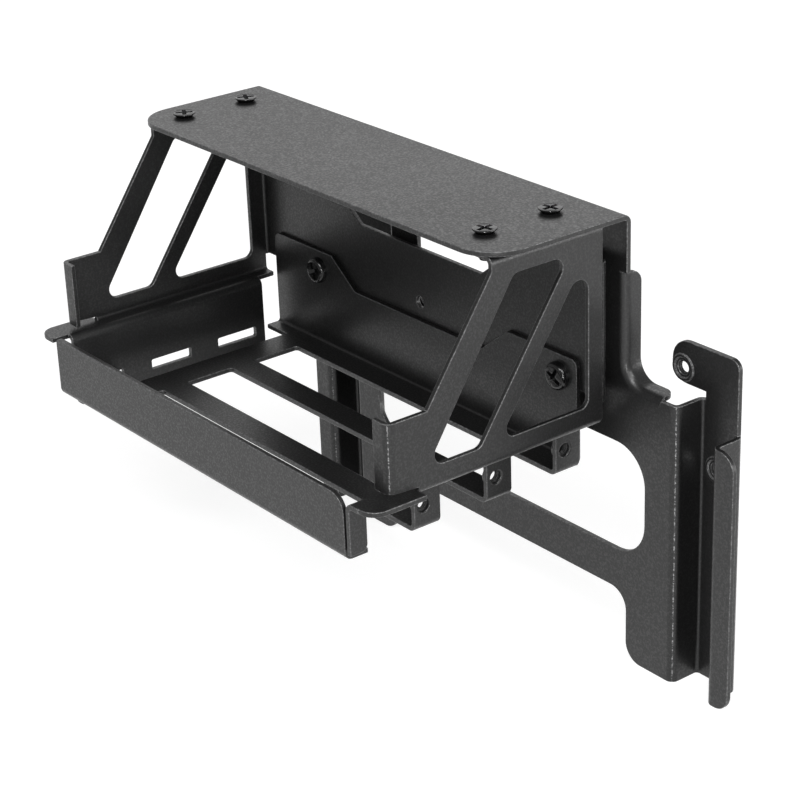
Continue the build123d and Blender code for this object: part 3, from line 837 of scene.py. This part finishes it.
def studio_camera(stage):
    """Camera at the photograph's place and angle."""
    camera = bpy.data.objects.new("camera", bpy.data.cameras.new("camera"))
    camera.data.sensor_width = SENSOR_WIDTH
    camera.data.lens = stage.lens
    camera.data.shift_x, camera.data.shift_y = CAMERA_SHIFT
    camera.data.clip_start = CLIP_START
    flat = math.cos(stage.elevation)
    back = Vector((
        math.sin(stage.azimuth) * flat, -math.cos(stage.azimuth) * flat,
        math.sin(stage.elevation)))
    level = (-back).to_track_quat("-Z", "Y")
    camera.rotation_mode = "QUATERNION"
    camera.rotation_quaternion = level @ Quaternion((0, 0, 1), stage.roll)
    camera.location = stage.position
    bpy.context.scene.collection.objects.link(camera)
    bpy.context.scene.camera = camera


class MOUNT_OT_stage(bpy.types.Operator):
    """Set up the floor, the soft studio light and the camera"""
    bl_idname = "mount.stage"
    bl_label = "Set Up Stage"

    def execute(self, context):
        stage = context.scene.mount_stage
        bm = bmesh.new()
        bmesh.ops.create_grid(bm, x_segments=1, y_segments=1, size=FLOOR_HALF)
        bmesh.ops.translate(bm, verts=bm.verts, vec=(0, 0, cad_box[0].z))
        floor = finish_piece("studio_floor", bm, floor_material(stage.floor_color))
        middle = (cad_box[0] + cad_box[1]) / 2
        for name, offset, width, height, power in LAMPS:
            place = middle + Vector(offset)
            area_lamp(name, place, middle, width, height, getattr(stage, power))
        studio_world()
        studio_camera(stage)
        context.scene.view_settings.view_transform = "Standard"
        return {"FINISHED"}


class MOUNT_PT_panel(bpy.types.Panel):
    """Settings and pieces of the mount"""
    bl_idname = "MOUNT_PT_panel"
    bl_label = "Card Mount"
    bl_space_type = "VIEW_3D"
    bl_region_type = "UI"
    bl_category = "Card Mount"

    def draw(self, context):
        for group in SETTINGS:
            box = self.layout.box()
            settings = getattr(context.scene, group)
            for name in settings.bl_rna.properties.keys():
                if name not in ("rna_type", "name"):
                    box.prop(settings, name)
        for operator in OPERATORS:
            self.layout.operator(operator.bl_idname)


SETTINGS = {
    "mount_coat": CoatSettings,
    "mount_screws": ScrewSettings,
    "mount_taps": TapSettings,
    "mount_stage": StageSettings,
}
OPERATORS = (
    MOUNT_OT_stand,
    MOUNT_OT_cage,
    MOUNT_OT_card_tray,
    MOUNT_OT_top_screws,
    MOUNT_OT_ear_screws,
    MOUNT_OT_tapped_holes,
    MOUNT_OT_stage,
)


def register():
    for group in SETTINGS.values():
        bpy.utils.register_class(group)
    for operator in OPERATORS:
        bpy.utils.register_class(operator)
    bpy.utils.register_class(MOUNT_PT_panel)
    for name, group in SETTINGS.items():
        setattr(bpy.types.Scene, name, bpy.props.PointerProperty(type=group))


def unregister():
    for name in SETTINGS:
        delattr(bpy.types.Scene, name)
    bpy.utils.unregister_class(MOUNT_PT_panel)
    for operator in reversed(OPERATORS):
        bpy.utils.unregister_class(operator)
    for group in reversed(SETTINGS.values()):
        bpy.utils.unregister_class(group)


def main():
    """Registers the classes, and builds every piece and the stage."""
    register()
    bpy.ops.mount.stand()
    bpy.ops.mount.cage()
    bpy.ops.mount.card_tray()
    bpy.ops.mount.top_screws()
    bpy.ops.mount.ear_screws()
    bpy.ops.mount.tapped_holes()
    bpy.ops.mount.stage()


if __name__ == "__main__":
    main()
